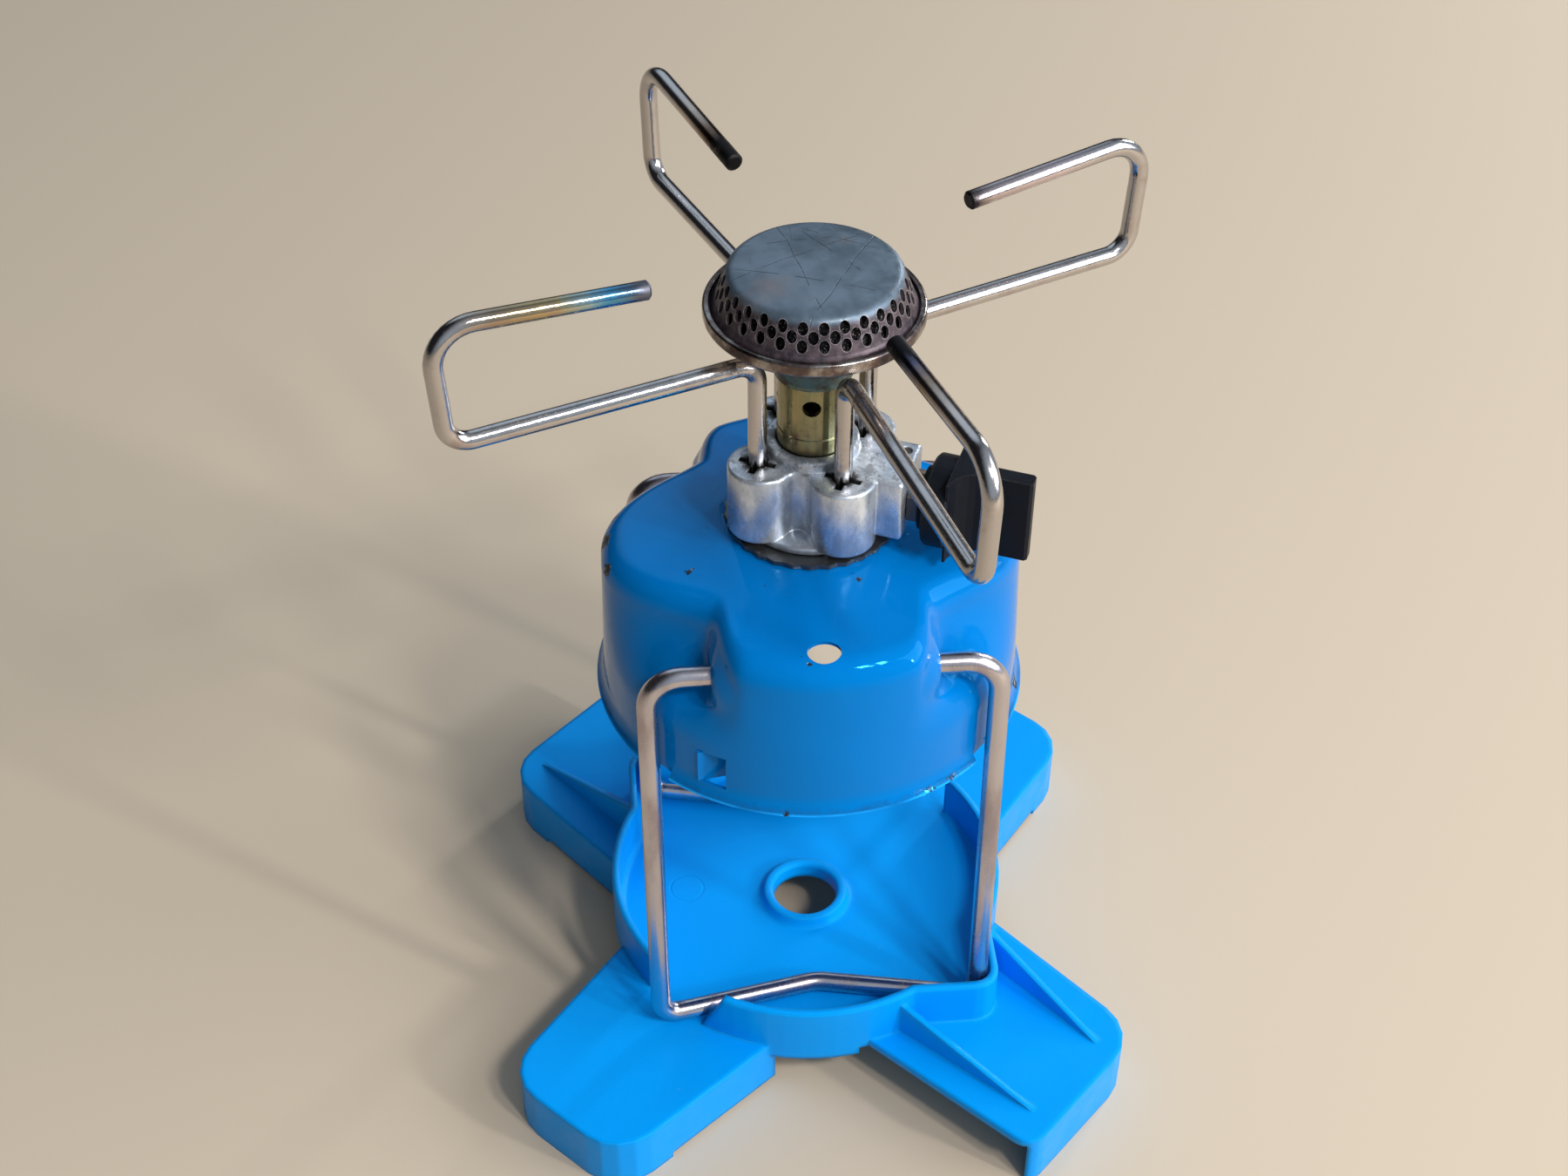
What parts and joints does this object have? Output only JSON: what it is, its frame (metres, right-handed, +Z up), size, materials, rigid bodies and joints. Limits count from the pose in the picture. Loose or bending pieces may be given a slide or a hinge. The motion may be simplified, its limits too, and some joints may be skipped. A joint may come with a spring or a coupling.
{
  "type": "camping gas stove",
  "caption": "Small screw-on camping stove: perforated burner with folding wire pan supports on a pressed steel cartridge housing, hung on two wire bails in a four-legged plastic base.",
  "frame": {"origin": "on the burner's vertical axis, at the level of the feet", "axes": "+Z up; X along the bails' pivot lines; front, with the sight hole, towards -Y"},
  "size_m": [0.1525, 0.158, 0.2129],
  "materials": {
    "base_plastic": "bright blue moulded plastic",
    "housing_paint": "glossy teal-blue paint on pressed steel",
    "dark_steel": "dark oiled steel",
    "bail_wire": "nickel plated wire with brown patina",
    "cast_aluminium": "as cast, with bright edges",
    "seal_rubber": "black rubber",
    "knob_plastic": "black heat-proof plastic",
    "jet_brass": "turned brass",
    "wire_gauze": "fine steel gauze, modelled as a thin sheet",
    "passivated_steel": "yellow-green passivated steel",
    "heated_steel": "steel with blue and purple heat tint",
    "support_rod": "plated rod with heat tint and soot"
  },
  "bodies": {
    "base": {"stabiliser_base": "base_plastic"},
    "housing": {"cartridge_housing": "housing_paint", "threaded_bush": "dark_steel", "serrated_ring": "dark_steel"},
    "front_bail": {"front_bail": "bail_wire"},
    "rear_bail": {"rear_bail": "bail_wire"},
    "burner": {"valve_body": "cast_aluminium", "gland_nut": "dark_steel", "gland_pin": "dark_steel", "spindle_seal_ring": "seal_rubber", "piercing_needle": "dark_steel", "cartridge_seal": "seal_rubber", "jet": "jet_brass", "jet_filter": "wire_gauze", "burner_tube": "passivated_steel", "burner_collar": "heated_steel", "burner_pan": "heated_steel", "burner_gauze": "wire_gauze", "burner_cap": "heated_steel"},
    "knob": {"control_knob": "knob_plastic", "valve_spindle": "dark_steel"},
    "support_1": {"pan_support_1": "support_rod"},
    "support_2": {"pan_support_2": "support_rod"},
    "support_3": {"pan_support_3": "support_rod"},
    "support_4": {"pan_support_4": "support_rod"}
  },
  "joints": [
    {"name": "stove_lift", "type": "slide", "parent": "base", "child": "housing", "axis": [0, 0, 1], "range_m": [0, 0.06]},
    {"name": "front_bail_swing", "type": "hinge", "parent": "housing", "child": "front_bail", "pos_m": [0, -0.033, 0.1245], "axis": [1, 0, 0], "range_deg": [0, 4.5]},
    {"name": "rear_bail_swing", "type": "hinge", "parent": "housing", "child": "rear_bail", "pos_m": [0, 0.033, 0.1245], "axis": [-1, 0, 0], "range_deg": [0, 4.5]},
    {"name": "burner_unscrew", "type": "hinge", "parent": "housing", "child": "burner", "pos_m": [0, 0, 0.14], "axis": [0, 0, 1], "range_deg": [0, 360]},
    {"name": "knob_turn", "type": "hinge", "parent": "burner", "child": "knob", "pos_m": [0, 0, 0.1517], "axis": [0.9184, -0.3955, 0], "range_deg": [0, 360]},
    {"name": "support_1_fold", "type": "hinge", "parent": "burner", "child": "support_1", "pos_m": [0.0122, 0.0053, 0.185], "axis": [0, 0, 1], "range_deg": [0, 90]},
    {"name": "support_2_fold", "type": "hinge", "parent": "burner", "child": "support_2", "pos_m": [-0.0053, 0.0122, 0.185], "axis": [0, 0, 1], "range_deg": [0, 90]},
    {"name": "support_3_fold", "type": "hinge", "parent": "burner", "child": "support_3", "pos_m": [-0.0122, -0.0053, 0.185], "axis": [0, 0, 1], "range_deg": [0, 90]},
    {"name": "support_4_fold", "type": "hinge", "parent": "burner", "child": "support_4", "pos_m": [0.0053, -0.0122, 0.185], "axis": [0, 0, 1], "range_deg": [0, 90]}
  ]
}
